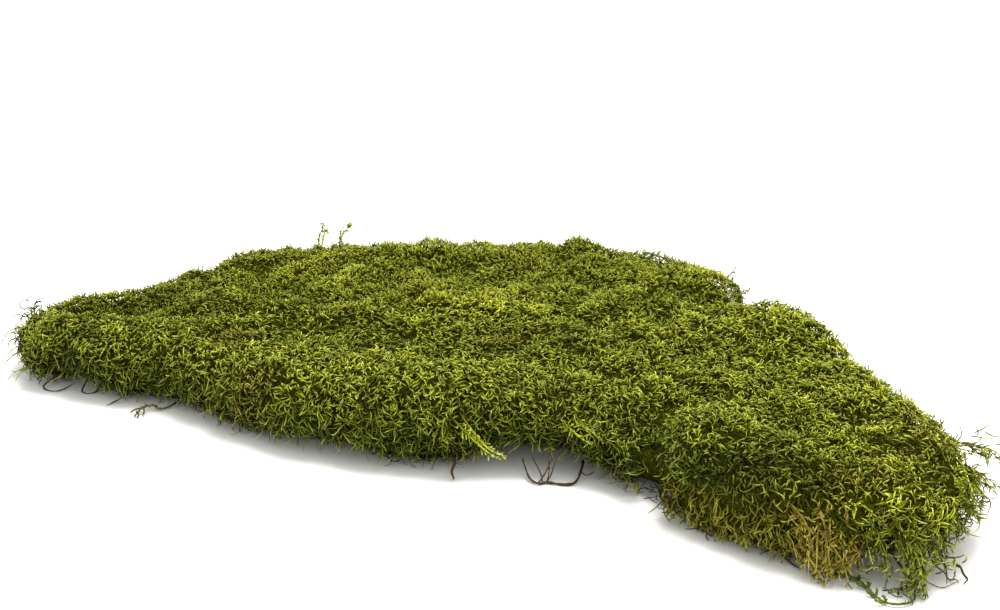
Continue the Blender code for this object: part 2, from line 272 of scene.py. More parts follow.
def feltMaterial():
    material, tree, shader = newMaterial("oldFelt")
    place = addNode(tree, "ShaderNodeTexCoord")
    fibres = addNode(tree, "ShaderNodeTexNoise", {"Scale": 620.0, "Detail": 3.0, "Roughness": 0.6, "Distortion": 2.0})
    join(tree, place.outputs["Object"], fibres.inputs["Vector"])
    patch = useGroup(tree, blotches, Size=0.03, Contrast=2.0)
    green = ramp(tree, fibres.outputs[0], [(0.38, (0.003, 0.005, 0.0002)), (0.66, (0.075, 0.105, 0.003))])
    brown = ramp(tree, fibres.outputs[0], [(0.38, (0.006, 0.005, 0.0005)), (0.66, (0.075, 0.064, 0.005))])
    join(tree, mixed(tree, patch.outputs[0], green, brown), shader.inputs["Base Color"])
    shader.inputs["Roughness"].default_value = 0.95
    shader.inputs["Specular IOR Level"].default_value = 0.02
    bump = addNode(tree, "ShaderNodeBump", {"Strength": 0.8, "Distance": 0.002})
    join(tree, fibres.outputs[0], bump.inputs["Height"])
    join(tree, bump.outputs[0], shader.inputs["Normal"])
    return material


# Camera, floor and lights first, so that a half-built scene can be looked at

cameraLook = {"lens": 50.4, "place": (0.0252, -0.6406, 0.29), "down": 20}

nothingSelected()
bpy.ops.object.camera_add(location=cameraLook["place"], rotation=(math.radians(90 - cameraLook["down"]), 0, 0))
camera = bpy.context.object
camera.data.lens = cameraLook["lens"]
camera.data.clip_start = 0.02
bpy.context.scene.camera = camera

lightLook = {
    "sky": 1.06,
    "soft": {"place": (0.22, 0.22, 1.40), "size": 0.8, "power": 24.0, "warmth": (1.0, 0.985, 0.955)},
    "fill": {"place": (0.5, -0.9, 1.2), "size": 1.2, "power": 3.0, "warmth": (1.0, 1.0, 1.0)},
}

for name in ("soft", "fill"):
    lamp = lightLook[name]
    aim = -Vector(lamp["place"])
    bpy.ops.object.light_add(type="AREA", location=lamp["place"], rotation=aim.to_track_quat("-Z", "Y").to_euler())
    light = bpy.context.object
    light.name = name + "Light"
    light.data.shape = "DISK"
    light.data.size = lamp["size"]
    light.data.energy = lamp["power"]
    light.data.color = lamp["warmth"]

world = bpy.data.worlds.new("studio")
world.use_nodes = True
world.node_tree.nodes["Background"].inputs["Color"].default_value = (1.0, 0.996, 0.975, 1)
world.node_tree.nodes["Background"].inputs["Strength"].default_value = lightLook["sky"]
bpy.context.scene.world = world
bpy.context.scene.view_settings.view_transform = "Standard"

bpy.ops.mesh.primitive_plane_add(size=14, location=(0, 3, 0))
floor = bpy.context.object
floor.name = "paleFloor"
floor.data.transform(floor.matrix_world)
floor.matrix_world.identity()
floorMaterial, tree, shader = newMaterial("palePaper")
paper = useGroup(tree, blotches, Size=0.4, Contrast=1.0)
join(tree, ramp(tree, paper.outputs[0], [(0.0, (0.89, 0.89, 0.87)), (1.0, (0.90, 0.90, 0.885))]),
     shader.inputs["Base Color"])
shader.inputs["Roughness"].default_value = 0.8
floor.data.materials.append(floorMaterial)
print("camera, floor and lights are in")


# The mat's surface as arrays: where shoots may stand, and which way is out

matBuild = {"thinnest": 0.009, "smoothing": 5, "inset": 0.0042, "voxel": 0.0037}

matCopy = bpy.data.objects.new("moss_felt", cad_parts["moss_mat"].data.copy())
bpy.context.scene.collection.objects.link(matCopy)
selectOnly(matCopy)
bpy.ops.object.mode_set(mode="EDIT")
bpy.ops.mesh.select_all(action="SELECT")
bpy.ops.mesh.remove_doubles(threshold=0.00001)
bpy.ops.object.mode_set(mode="OBJECT")

matTree = BVHTree.FromPolygons([v.co for v in matCopy.data.vertices], [p.vertices[:] for p in matCopy.data.polygons])
corners = np.array([v.co[:] for v in matCopy.data.vertices])
faces = np.array([p.vertices[:] for p in matCopy.data.polygons])
faceOut = np.array([p.normal[:] for p in matCopy.data.polygons])
faceMiddle = corners[faces].mean(1)
faceArea = np.array([p.area for p in matCopy.data.polygons])


def depthBehind(middle, out):
    hit = matTree.ray_cast(Vector(middle) - Vector(out) * 0.0002, -Vector(out))
    return hit[3] if hit[0] else 0.0


depths = np.array([depthBehind(m, o) for m, o in zip(faceMiddle, faceOut)])
body = depths > matBuild["thinnest"]    # the long shoots that are fused to the mat are thinner

cornerOut = np.zeros_like(corners)
for k in range(3):
    np.add.at(cornerOut, faces[:, k], faceOut * (faceArea * body)[:, None])
cornerOut = unit(cornerOut)
for turn in range(matBuild["smoothing"]):
    spread = cornerOut.copy()
    for a, b in ((0, 1), (1, 2), (2, 0)):
        np.add.at(spread, faces[body][:, a], cornerOut[faces[body][:, b]] * 0.5)
        np.add.at(spread, faces[body][:, b], cornerOut[faces[body][:, a]] * 0.5)
    cornerOut = unit(spread)


def onMat(points):    # the nearest places on the mat, and the smooth outward direction there
    near = np.empty_like(points)
    found = np.empty_like(points)
    for i, p in enumerate(points):
        spot, _, index, _ = matTree.find_nearest(Vector(p))
        trio = faces[index]
        share = 1 / (np.linalg.norm(corners[trio] - np.array(spot), axis=1) + 0.0005)
        found[i] = (cornerOut[trio] * share[:, None]).sum(0)
        near[i] = spot
    return near, unit(found)


def planOf(points):
    return ((points[..., :2] - planShift) / mm).T


def scatter(tries, spacing, wanted):    # places on the mat that keep a distance from each other
    weight = faceArea * body * wanted
    pick = dice.choice(len(faces), size=tries, p=weight / weight.sum())
    a, b = dice.random(tries), dice.random(tries)
    over = a + b > 1
    a[over], b[over] = 1 - a[over], 1 - b[over]
    trio = corners[faces[pick]]
    points = trio[:, 0] + a[:, None] * (trio[:, 1] - trio[:, 0]) + b[:, None] * (trio[:, 2] - trio[:, 0])
    near = KDTree(tries)
    for i, p in enumerate(points):
        near.insert(p, i)
    near.balance()
    free = np.ones(tries, bool)
    for i, p in enumerate(points):
        if free[i]:
            free[[k for _, k, _ in near.find_range(p, spacing) if k > i]] = False
    return points[free]


# How high each place stands over its surroundings, from about -1 in a hollow to 1 on a cushion; the tone below uses it
# to paint light on cushions and shade in hollows

around = KDTree(len(corners))
for i, p in enumerate(corners):
    around.insert(p, i)
around.balance()


def standing(points, reach=0.017, full=0.0045):
    found = np.empty(len(points))
    for i, p in enumerate(points):
        found[i] = p[2] - np.mean([spot[2] for spot, _, _ in around.find_range(p, reach)] or [p[2]])
    return np.clip(found / full, -1, 1)


# Many thin tapering tubes at once, as arrays: paths are count x points x 3, girths a radius at each point but the tip

def tubes(paths, girths, tint, dryness, sides=3):
    count, rings = paths.shape[0], paths.shape[1] - 1
    along = unit(np.gradient(paths, axis=1))
    girths = np.broadcast_to(girths, (count, rings))
    turn = unit(np.cross(along[:, 0], dice.normal(size=(count, 3))))
    side = np.empty((count, rings, 3))
    for r in range(rings):    # carried along the path without a twist
        turn = unit(turn - along[:, r] * (turn * along[:, r]).sum(1, keepdims=True))
        side[:, r] = turn
    up = np.cross(along[:, :-1], side)
    angle = (np.arange(sides) / sides + dice.random((count, 1))) * 2 * math.pi
    c, s = np.cos(angle)[:, None, :, None], np.sin(angle)[:, None, :, None]
    rim = paths[:, :-1, None] + girths[:, :, None, None] * (c * side[:, :, None] + s * up[:, :, None])
    points = np.concatenate([rim.reshape(count, rings * sides, 3), paths[:, -1:]], axis=1)
    level = [0.10 + 0.90 * r / rings for r in range(rings)] + [1.0]
    trios = [(0, s + 1, s) for s in range(1, sides - 1)]
    places = [((0.1, 0.0), (0.9, 0.0), (0.5, 0.07))] * (sides - 2)
    for r in range(rings - 1):
        for s in range(sides):
            a, b = r * sides + s, r * sides + (s + 1) % sides
            left, right = s / sides, (s + 1) / sides
            trios += [(a, b, b + sides), (a, b + sides, a + sides)]
            places += [((left, level[r]), (right, level[r]), (right, level[r + 1])),
                       ((left, level[r]), (right, level[r + 1]), (left, level[r + 1]))]
    last, tip = (rings - 1) * sides, rings * sides
    for s in range(sides):
        trios.append((last + s, last + (s + 1) % sides, tip))
        places.append(((s / sides, level[-2]), ((s + 1) / sides, level[-2]), ((s + 0.5) / sides, 1.0)))
    return {
        "points": points, "trios": np.array(trios), "places": np.array(places),
        "along": np.append(np.repeat(np.arange(rings) / rings, sides), 1.0),
        "tint": np.broadcast_to(tint, count), "dryness": np.broadcast_to(dryness, count),
    }


def strandPiece(name, batches, material, stands=()):
    strands = sum(len(batch["points"]) for batch in batches)
    columns = math.ceil(math.sqrt(strands))
    points, trios, places, along, tint, dryness = [], [], [], [], [], []
    done = start = 0
    for batch in batches:
        count, each = batch["points"].shape[:2]
        cell = np.arange(done, done + count)
        cell = np.stack([cell % columns, cell // columns], 1)
        points.append(batch["points"].reshape(-1, 3))
        trios.append((start + batch["trios"][None] + each * np.arange(count)[:, None, None]).reshape(-1, 3))
        places.append(((cell[:, None, None] + 0.08 + 0.84 * batch["places"][None]) / columns).reshape(-1, 2))
        along.append(np.tile(batch["along"], count))
        tint.append(np.repeat(batch["tint"], each))
        dryness.append(np.repeat(batch["dryness"], each))
        done += count
        start += count * each
    points = np.concatenate(points)
    points[:, 2] = np.maximum(points[:, 2], 0.0004)    # nothing grows through what the mat lies on
    mesh = bpy.data.meshes.new(name)
    mesh.from_pydata(points, [], np.concatenate(trios))
    for label, values in (("along", along), ("tint", tint), ("dryness", dryness)):
        layer = mesh.attributes.new(label, "FLOAT", "POINT")
        layer.data.foreach_set("value", np.concatenate(values).astype(np.float32))
    layer = mesh.uv_layers.new(name="OFBake")    # each strand has its own cell, so that a bake keeps its colours
    layer.data.foreach_set("uv", np.concatenate(places).astype(np.float32).ravel())
    mesh.shade_smooth()
    mesh.materials.append(material)
    piece = bpy.data.objects.new(name, mesh)
    bpy.context.scene.collection.objects.link(piece)
    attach(piece, "root")
    if stands:
        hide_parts(*stands)
    counts[name] = len(mesh.polygons)
    print(f"{name}: {strands} strands, {len(mesh.polygons)} triangles")
    return piece


counts = {}


def wander(paths, amount):    # a smooth random sway that grows along each path
    count, points = paths.shape[:2]
    t = np.linspace(0, 1, points)[None, :, None]
    way, other = unit(dice.normal(size=(2, count, 1, 3)))
    turns = dice.uniform(0.6, 1.6, (2, count, 1, 1)) * 2 * math.pi
    start = dice.uniform(0, 2 * math.pi, (2, count, 1, 1))
    sway = way * (np.sin(turns[0] * t + start[0]) - np.sin(start[0]))
    sway += other * (np.sin(turns[1] * t + start[1]) - np.sin(start[1]))
    return paths + amount * sway * t**0.5


def narrowing(rings, thick, foot=0.8, end=0.6):    # girths that swell a little and then thin out
    t = np.linspace(0, 1, rings)
    return thick * np.interp(t, (0, 0.3, 1), (foot, 1, end))    # thick is one number or one for each strand


# Side shoots on many stems at once: left and right in turn, bent towards the stem's tip

sideBuild = {"spread": (50, 24), "taper": {2: (0.85, 0.9), 3: (0.8, 1.0, 0.88)},
             "levels": {2: (0.0, 0.74, 1.0), 3: (0.0, 0.36, 0.74, 1.0)}, "turning": (1.5, 0.7)}


def arcs(foot, way, lean, reach, turning, steps):    # arcs of a circle that leave along way and turn towards lean
    lean = unit(lean - way * (lean * way).sum(-1, keepdims=True))
    angle = turning[..., None] * steps
    ahead, aside = np.sin(angle) / turning[..., None], (1 - np.cos(angle)) / turning[..., None]
    return foot[..., None, :] + reach[..., None, None] * (way[..., None, :] * ahead[..., None]
                                                          + lean[..., None, :] * aside[..., None])


def sideShoots(stems, out, pairs, length, girth, tint, dryness, first=0.12, hooked=-0.2, rings=3):
    count, points = stems.shape[:2]
    each = pairs * 2
    share = first + (0.96 - first) * (np.arange(each) + 0.6 * dice.random((count, each))) / each
    at = share * (points - 1)
    low = np.minimum(at.astype(int), points - 2)
    row = np.arange(count)[:, None]
    forward = unit(stems[row, low + 1] - stems[row, low])
    foot = stems[row, low] + (at - low)[..., None] * (stems[row, low + 1] - stems[row, low])
    right = unit(np.cross(forward, out[:, None]))
    outward = np.cross(right, forward)
    hand = np.where(np.arange(each) % 2 == 0, 1.0, -1.0)[None, :, None]
    start, end = sideBuild["spread"]
    angle = np.radians(start + (end - start) * share + dice.normal(0, 18, share.shape))[..., None]
    lift = dice.normal(0.15, 0.40, share.shape)[..., None]
    way = unit(np.cos(angle) * forward + np.sin(angle) * hand * right + lift * outward)
    reach = length * (0.66 + 0.46 * np.sin(math.pi * (0.15 + 0.8 * share))) * dice.uniform(0.72, 1.22, share.shape)
    lean = forward * dice.normal(0.5, 0.6, (*share.shape, 1)) - hand * right * dice.normal(0.4, 0.7, (*share.shape, 1))
    lean = lean + outward * dice.normal(hooked, 0.8, (*share.shape, 1))
    steps = np.array(sideBuild["levels"][rings])
    turning = np.clip(dice.normal(*sideBuild["turning"], share.shape), 0.2, 2.8)
    paths = arcs(foot, way, lean, reach, turning, steps)
    thick = (girth * dice.uniform(0.82, 1.15, share.shape))[..., None] * sideBuild["taper"][rings]
    total = count * each
    shootToneAndShade = np.repeat(np.broadcast_to(tint, count), each) + dice.normal(0, 0.20, total)
    return tubes(paths.reshape(total, rings + 1, 3), thick.reshape(total, rings), shootToneAndShade,
                 np.repeat(np.broadcast_to(dryness, count), each))


# Where the mat is dry or lighter, where shade is painted on it, and where it is hollowed or lifted, in the plan's
# millimetres: x, y, half length, half depth, amount

drySpots = [
    (-112, 13, 24, 12, 1.0), (-101, -40, 20, 12, 0.9), (158, -150, 16, 10, 1.2), (40, 10, 34, 12, 0.5),
    (-190, 30, 30, 10, 0.4), (120, -40, 40, 14, 0.4), (205, -120, 16, 26, 0.5), (25, 20, 30, 12, 0.4),
]
brightSpots = [
    (20, 52, 34, 20, 1.2), (-85, 85, 60, 26, 0.35), (-50, -40, 90, 10, 0.10), (178, -50, 30, 14, 0.4),
    (172, 36, 22, 16, 0.5), (136, 99, 20, 16, 0.5), (190, -122, 24, 30, 0.55), (184, -164, 18, 14, 0.9),
    (150, -120, 26, 16, 0.3),
]

# Painted shade, mostly under crests, in creases, in the hollow and on the lobe's face; the rest are darker patches of
# tone
paintedShadeSpots = [
    (114, -134, 30, 11, 2.1), (138, -143, 14, 8, 1.2), (86, -102, 10, 14, 2.0), (172, -57, 16, 5, 0.8), (-56, 5, 48, 10, 1.5),
    (55, -2, 46, 16, 0.8), (150, -152, 10, 8, 0.8), (84, -78, 18, 14, 0.9), (-178, 30, 62, 44, 0.6),
    (108, -106, 26, 12, 1.0), (50, -66, 40, 14, 0.7), (-150, 80, 30, 14, 0.5), (92, 45, 18, 14, 0.5),
]

holes = [(86, -102, 6, 12, 1.3)]
lifts = [
    (208, -66, 12, 44, 2.6), (148, 104, 22, 16, 3.2), (-131, 124, 44, 16, -2.6), (224, -112, 10, 30, -3.4),
    (-228, 30, 12, 10, -3.0), (60, 170, 60, 8, 1.2), (-60, 172, 60, 8, 1.2),
]


def spotted(points, spots):
    x, y = planOf(points)
    found = np.zeros(len(points))
    for cx, cy, length, depth, amount in spots:
        found += amount * np.exp(-(((x - cx) / length) ** 2) - ((y - cy) / depth) ** 2)
    return found


def cloudy(points, size, seed):
    return np.array([noise.noise(Vector(p) / size + Vector((seed, 0, 0))) for p in points]) * 1.6


def faceOfLobe(points):    # 1 on the broad lobe's bare front face, 0 elsewhere
    x, y = planOf(points)
    crestY = np.interp(x, [78, 94, 120, 143, 158, 172], [-92, -108, -126, -147, -158, -170])
    inside = smoothStep((x - 80) / 10) * smoothStep((168 - x) / 8)
    upTo = np.interp(x, [90, 150], [28, 37])
    return inside * smoothStep((crestY - y + 4) / 8) * smoothStep((upTo - points[:, 2] / mm) / 6)


# The carpet: curled shoots all over the mat, long and thin on its flanks, with feathery sprigs at the near corner

carpetBuild = {
    "spacing": 0.0030, "tries": 40000,
    "lump": 0.013,                       # size of the small lumps that shoots lean away from
    "top": {"each": 6, "reach": (0.0038, 0.0068), "girth": 0.00035, "steps": (0, 0.42, 0.82, 1), "rise": (46, 20),
            "heading": 0.7, "turning": (1.55, 0.6), "depth": 0.0026},
    "far": {"each": 9, "reach": (0.0036, 0.0062), "girth": 0.00032, "steps": (0, 0.72, 1), "rise": (50, 20),
            "heading": 0.7, "turning": (1.4, 0.6), "depth": 0.0026},
    "flank": {"each": 7, "reach": (0.0050, 0.0100), "girth": 0.00030, "steps": (0, 0.38, 0.80, 1), "rise": (26, 18),
              "heading": 0.55, "turning": (1.75, 0.6), "depth": 0.0024},
    "sprig": {"pairs": 5, "reach": (0.0075, 0.0115), "shoot": 0.0031, "girth": 0.00042},
}

wanted = smoothStep((faceOut[:, 2] + 0.93) / 0.15)
places = scatter(carpetBuild["tries"], carpetBuild["spacing"], wanted)
places, placeOut = onMat(places)

nudge = 0.0012
lump = cloudy(places, carpetBuild["lump"], 2.0)
slope = np.stack([cloudy(places + nudge * np.eye(3)[k], carpetBuild["lump"], 2.0) - lump for k in range(3)], 1)
comb = np.stack([cloudy(places, 0.030, 3.0), cloudy(places, 0.030, 9.0), 0 * lump], 1)
downhill = placeOut * placeOut[:, 2:] - np.array([0, 0, 1.0])
flow = -4.0 * slope + 0.8 * comb + 0.7 * downhill * smoothStep(1 - placeOut[:, 2:])
places = places + placeOut * (0.0010 * lump - 0.0006 * smoothStep(placeOut[:, 2]) + spotted(places, lifts) * mm)[:, None]

tint = 0.40 + 0.16 * cloudy(places, 0.012, 7.0) + 0.20 * dice.normal(size=len(places)) + 0.12 * lump
shaded = smoothStep((0.75 - placeOut[:, 2]) / 0.9)    # 1 on the flanks, which get less light: below, it darkens their shoots as painted shade and gives them long shoots
# Painted shade from the shade spots; the bright spots make patches lighter
tint += 0.50 * spotted(places, brightSpots) - 0.50 * spotted(places, paintedShadeSpots)
# Painted shade: shoots darker towards the bottom of the mat
low = smoothStep((0.020 - places[:, 2]) / 0.014)
back = smoothStep((planOf(places)[1] - 60) / 60)
# Painted light and shade in the tone: lighter on cushions, darker in hollows, on the flanks and low down; also lighter
# towards the back
tint = np.clip(tint + 0.08 + 0.16 * back + 0.50 * standing(places) - 0.72 * shaded - 0.22 * low, -0.8, 1.3)
dry = np.clip(spotted(places, drySpots) + 0.30 * cloudy(places, 0.035, 5.0) - 0.08, 0, 1)
dry = np.clip(dry + 0.6 * (dice.random(len(places)) < 0.04), 0, 1)

keep = (dice.random(len(places)) > 0.92 * faceOfLobe(places)) & (spotted(places, holes) < 0.4)
x, y = planOf(places)
keep &= dice.random(len(places)) > 0.6 * smoothStep((x - 211) / 6) * smoothStep((-92 - y) / 8)    # sprays stand there
onFlank = shaded > 0.30 + 0.40 * dice.random(len(places))
feathery = dice.random(len(places)) < 0.6 * smoothStep((x - 125) / 50) * smoothStep((-70 - y) / 50)


def curledShoots(here, build):    # several arcs at each place, which rise along its flow and bend back down
    rows = np.repeat(here, build["each"])
    count, out = len(rows), placeOut[rows]
    heading = flow[rows] + dice.normal(0, build["heading"], (count, 3))
    heading = unit(heading - out * (heading * out).sum(1, keepdims=True))
    rise = np.radians(np.clip(dice.normal(*build["rise"], count), -10, 85))[:, None]
    way = np.cos(rise) * heading + np.sin(rise) * out
    lean = np.cross(heading, out) * dice.normal(0, 0.8, (count, 1)) - out * dice.uniform(0.1, 1.0, (count, 1))
    reach = dice.uniform(*build["reach"], count)
    shift = np.cross(out, dice.normal(0, 0.0014, (count, 3)))
    feet = places[rows] + shift - build["depth"] * out - 0.35 * reach[:, None] * heading
    turning = np.clip(dice.normal(*build["turning"], count), 0.2, 3.0)
    paths = wander(arcs(feet, way, lean, reach, turning, np.array(build["steps"])), 0.0003)
    rings = len(build["steps"]) - 1
    return tubes(paths, narrowing(rings, build["girth"] * dice.uniform(0.75, 1.2, (count, 1)), end=0.95),
                 tint[rows] + dice.normal(0, 0.16, count), dry[rows])


def sprigs(here, build):    # a short stem each, with side shoots left and right
    count, out = len(here), placeOut[here]
    heading = unit(flow[here] + dice.normal(0, 0.5, (count, 3)))
    way = unit(heading + 0.5 * out)
    reach = dice.uniform(*build["reach"], count)
    lean = np.cross(way, out) * dice.normal(0, 0.7, (count, 1)) - out * 0.6
    feet = places[here] - 0.0020 * out - 0.35 * reach[:, None] * heading
    stems = arcs(feet, way, lean, reach, np.clip(dice.normal(1.0, 0.4, count), 0.2, 2.0), np.linspace(0, 1, 5))
    return [tubes(stems, narrowing(4, build["girth"]), tint[here] + 0.1, dry[here]),
            sideShoots(stems, out, build["pairs"], build["shoot"], 0.8 * build["girth"], tint[here] + 0.1, dry[here],
                       first=0.2, rings=2)]


greenShoots = shootMaterial()
far = y > 40 + 15 * dice.random(len(places))    # finer at the back, where they are seen from farther off
kinds = {"top": ~onFlank & ~feathery & ~far, "far": ~onFlank & ~feathery & far, "flank": onFlank & ~feathery}
zones = {
    "moss_wing": (-0.30, -0.118), "moss_left": (-0.118, -0.035), "moss_middle": (-0.035, 0.042),
    "moss_right": (0.042, 0.132), "moss_lobe": (0.132, 0.30),
}
for name, (low, high) in zones.items():
    here = keep & (places[:, 0] >= low) & (places[:, 0] < high)
    batches = [curledShoots(np.flatnonzero(here & kind), carpetBuild[build]) for build, kind in kinds.items()]
    if np.any(here & feathery):
        batches += sprigs(np.flatnonzero(here & feathery), carpetBuild["sprig"])
    strandPiece(name, batches, greenShoots, ["moss_mat"])


# Long strands on routes, in the plan's millimetres

def routeAt(route, shares):    # places on a smooth curve through the route's points, at shares of its length
    knots = inPlan([route[0], *route, route[-1]])
    fine = []
    for a, b, c, d in zip(knots, knots[1:], knots[2:], knots[3:]):
        for t in np.linspace(0, 1, 12, endpoint=False):
            fine.append(0.5 * (2 * b + (c - a) * t + (2 * a - 5 * b + 4 * c - d) * t**2
                               + (3 * b - a - 3 * c + d) * t**3))
    fine = np.array(fine + [knots[-1]])
    run = np.append(0, np.cumsum(np.linalg.norm(np.diff(fine, axis=0), axis=1)))
    return np.stack([np.interp(shares * run[-1], run, fine[:, k]) for k in range(3)], -1)


def bunch(route, count, radius, reach, rings, sway):    # strands that follow a route side by side
    extent = dice.uniform(*reach, (count, 1))
    first = dice.random((count, 1)) * (1 - extent) * (dice.random((count, 1)) < 0.7)
    shares = first + extent * np.linspace(0, 1, rings + 1)[None]
    offset = unit(dice.normal(size=(count, 1, 3))) * radius * np.sqrt(dice.random((count, 1, 1)))
    return wander(routeAt(route, shares) + offset, sway)


# Bare stems on the front face of the broad lobe, which hang down and out of the mat

hangBuild = {"spacing": 0.0020, "tries": 30000, "reach": (0.007, 0.012), "girth": 0.00042, "rings": 8,
             "turning": (1.9, 0.9)}

x, _ = planOf(faceMiddle)
feet = scatter(hangBuild["tries"], hangBuild["spacing"], smoothStep((faceOut[:, 2] + 0.93) / 0.15)
               * (faceOfLobe(faceMiddle) > 0.1) * smoothStep((162 - x) / 16))
feet, feetOut = onMat(feet[spotted(feet, holes) < 0.25])
count = len(feet)
level = unit(feetOut * (1, 1, 0.3))
aside = np.cross(level, (0, 0, 1))
way = unit(level * dice.uniform(0.3, 1.0, (count, 1)) + aside * dice.normal(0, 0.6, (count, 1)) + (0, 0, -0.35))
lean = aside * dice.normal(0, 1.0, (count, 1)) - (0, 0, 0.8)
hang = arcs(feet - 0.0065 * level, way, lean, dice.uniform(*hangBuild["reach"], count),
            np.clip(dice.normal(*hangBuild["turning"], count), 0.2, 3.2), np.linspace(0, 1, hangBuild["rings"] + 1))
hang = wander(hang, 0.0012)
x, _ = planOf(feet)
height = feet[:, 2] / mm
# Painted shade: stems darker higher up the face, under the lobe's crest
bright = 0.22 + 0.26 * dice.normal(size=count) - 0.50 * smoothStep((height - 20) / 10)
bareStem = stemMaterial("bareStem", [(0.0, (0.028, 0.026, 0.001)), (0.3, (0.105, 0.100, 0.006)),
                                     (0.65, (0.290, 0.275, 0.028)), (1.0, (0.540, 0.510, 0.130))], 0.6)
strandPiece("bare_stems", [tubes(hang, narrowing(hangBuild["rings"], hangBuild["girth"], end=0.75),
                                 bright, smoothStep((x - 122) / 30))], bareStem, ["moss_mat"])

# The dead tuft beside them, brown and golden, and matted

deadBuild = {
    "routes": [[(146, -140, 26), (152, -158, 19), (153, -166, 10), (151, -169, 1.5)],
               [(154, -142, 26), (159, -157, 19), (156, -165, 11), (152, -168, 2)],
               [(138, -140, 24), (144, -156, 17), (147, -163, 9), (149, -168, 1.5)]],
    "strands": 55, "radius": 0.0033, "girth": 0.00048, "rings": 8,
}
deadStem = stemMaterial("deadStem", [(0.0, (0.040, 0.028, 0.001)), (0.3, (0.170, 0.125, 0.008)),
                                     (0.65, (0.400, 0.320, 0.050)), (1.0, (0.640, 0.560, 0.220))], 0.6)
batches = []
for route in deadBuild["routes"]:
    paths = bunch(route, deadBuild["strands"], deadBuild["radius"], (0.3, 0.65), deadBuild["rings"], 0.0042)
    girth = narrowing(deadBuild["rings"], deadBuild["girth"])
    tint = 0.4 + 0.25 * dice.normal(size=len(paths))
    batches.append(tubes(paths, girth, tint, 1.0))
    facing = unit(dice.normal(size=(len(paths), 3)) * 0.5 + (0, -1, 0.4))
    batches.append(sideShoots(paths, facing, 3, 0.0040, 0.00042, tint, 1.0))
strandPiece("dead_tuft", batches, deadStem, ["moss_mat"])

# Green plumes that droop over the near corner

cornerBuild = {
    "routes": [[(186, -136, 28), (196, -158, 17), (198, -164, 8), (197, -167, 2)],
               [(176, -140, 28), (182, -166, 18), (184, -174, 8), (182, -177, 2)],
               [(166, -140, 27), (169, -162, 18), (171, -169, 8), (169, -172, 2)],
               [(182, -150, 26), (186, -166, 17), (183, -174, 8), (179, -177, 2)]],
    "stems": (6, 14, 8, 14), "curls": (20, 60, 50, 90), "radius": 0.0046, "girth": 0.00038, "rings": 7, "shoot": 0.0040,
}
batches = []
for route, stems, curls in zip(cornerBuild["routes"], cornerBuild["stems"], cornerBuild["curls"]):
    paths = bunch(route, stems, cornerBuild["radius"], (0.6, 0.95), cornerBuild["rings"], 0.0016)
    tint = 0.25 + 0.2 * dice.normal(size=stems)
    batches.append(tubes(paths, narrowing(cornerBuild["rings"], cornerBuild["girth"]), tint, 0.1))
    facing = unit(np.tile((0.15, -0.75, 0.6), (stems, 1)))
    batches.append(sideShoots(paths, facing, 8, cornerBuild["shoot"], 0.00036, tint, 0.0, first=0.05))
    feet = routeAt(route, dice.uniform(0.25, 0.95, (curls, 1)))[:, 0] + dice.normal(0, 0.0036, (curls, 3))
    paths = arcs(feet, unit(dice.normal(size=(curls, 3))), dice.normal(size=(curls, 3)),
                 dice.uniform(0.005, 0.010, curls), dice.uniform(1.2, 2.8, curls), np.linspace(0, 1, 7))
    batches.append(tubes(paths, narrowing(6, 0.00036), 0.15 + 0.3 * dice.normal(size=curls), 0.15))
strandPiece("corner_tuft", batches, greenShoots, ["moss_mat"])

# Sprays that reach out past the mat's right edge

sprayBuild = {
    "routes": [[(200, -118, 30), (216, -124, 28), (226, -128, 21), (230, -128, 18)],
               [(204, -106, 31), (222, -108, 31), (232, -106, 25), (238, -102, 23)],
               [(198, -124, 28), (211, -136, 22), (217, -141, 16), (221, -141, 14)],
               [(192, -132, 28), (203, -148, 20), (208, -152, 14), (211, -152, 12)]],
    "stems": 5, "radius": 0.0030, "girth": 0.00036, "rings": 8, "shoot": 0.0050, "curls": 16,
}
batches = []
for route in sprayBuild["routes"]:
    stems = sprayBuild["stems"]
    paths = bunch(route, stems, sprayBuild["radius"], (0.75, 1.0), sprayBuild["rings"], 0.0016)
    batches.append(tubes(paths, narrowing(sprayBuild["rings"], sprayBuild["girth"]), -0.2, 0.9))
    facing = unit(np.tile((0.2, -0.3, 0.9), (stems, 1)))
    batches.append(sideShoots(paths, facing, 4, sprayBuild["shoot"], 0.00036, 0.8, 0.1, first=0.45))
    curls = sprayBuild["curls"]
    feet = routeAt(route, dice.uniform(0.2, 0.8, (curls, 1)))[:, 0] + dice.normal(0, 0.0030, (curls, 3))
    outward = unit(dice.normal(size=(curls, 3)) * 0.5 + (1.0, -0.4, 0.1))
    paths = arcs(feet, outward, dice.normal(size=(curls, 3)), dice.uniform(0.006, 0.012, curls),
                 dice.uniform(0.8, 2.4, curls), np.linspace(0, 1, 7))
    batches.append(tubes(paths, narrowing(6, 0.00034), 0.4 + 0.3 * dice.normal(size=curls), 0.3))
strandPiece("right_sprays", batches, greenShoots, ["moss_mat"])

# Curled strands at the wing's tip, on the skyline and at the notch behind the lobe

